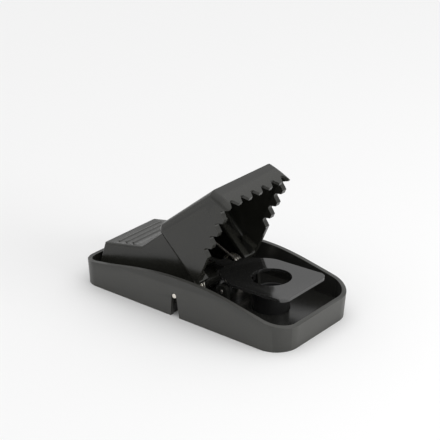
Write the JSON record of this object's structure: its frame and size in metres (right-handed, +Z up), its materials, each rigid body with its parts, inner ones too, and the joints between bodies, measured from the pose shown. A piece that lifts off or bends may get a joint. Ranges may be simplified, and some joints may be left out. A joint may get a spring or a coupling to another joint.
{
  "type": "snap mouse trap",
  "caption": "Moulded snap mouse trap: an open tray with a toothed hinged jaw, foot pedal, torsion springs, trigger plate and a removable bait cup.",
  "frame": {"origin": "centre of the tray's bottom edge, on the surface that the trap stands on", "axes": "+X towards the trigger and bait end, +Y across the tray, +Z up"},
  "size_m": [0.0992, 0.0492, 0.0537],
  "materials": {
    "tray_plastic": "satin moulded black",
    "jaw_plastic": "satin moulded black",
    "trigger_plastic": "polished black",
    "cup_plastic": "fine matt black",
    "axle_steel": "bright drawn and cut wire",
    "spring_steel": "bright drawn spring wire"
  },
  "bodies": {
    "base": {"base_tray": "tray_plastic", "jaw_axle": "axle_steel", "trigger_pin": "axle_steel"},
    "jaw": {"jaw": "jaw_plastic", "spring_near": "spring_steel", "spring_far": "spring_steel"},
    "trigger": {"trigger_plate": "trigger_plastic"},
    "cup": {"bait_cup": "cup_plastic"}
  },
  "joints": [
    {"name": "jaw_swing", "type": "hinge", "parent": "base", "child": "jaw", "pos_m": [-0.0012, 0, 0.0091], "axis": [0, 1, 0], "range_deg": [0, 66.5], "deforming": ["spring_near", "spring_far"]},
    {"name": "trigger_tilt", "type": "hinge", "parent": "base", "child": "trigger", "pos_m": [0.011, 0, 0.0095], "axis": [0, 1, 0], "range_deg": [0, 8]},
    {"name": "cup_pull", "type": "slide", "parent": "base", "child": "cup", "axis": [0, 0, -1], "range_m": [0, 0.014]}
  ],
  "couplings": [
    {"joint": "trigger_tilt", "follows": "jaw_swing", "ratio": 0.1203}
  ]
}
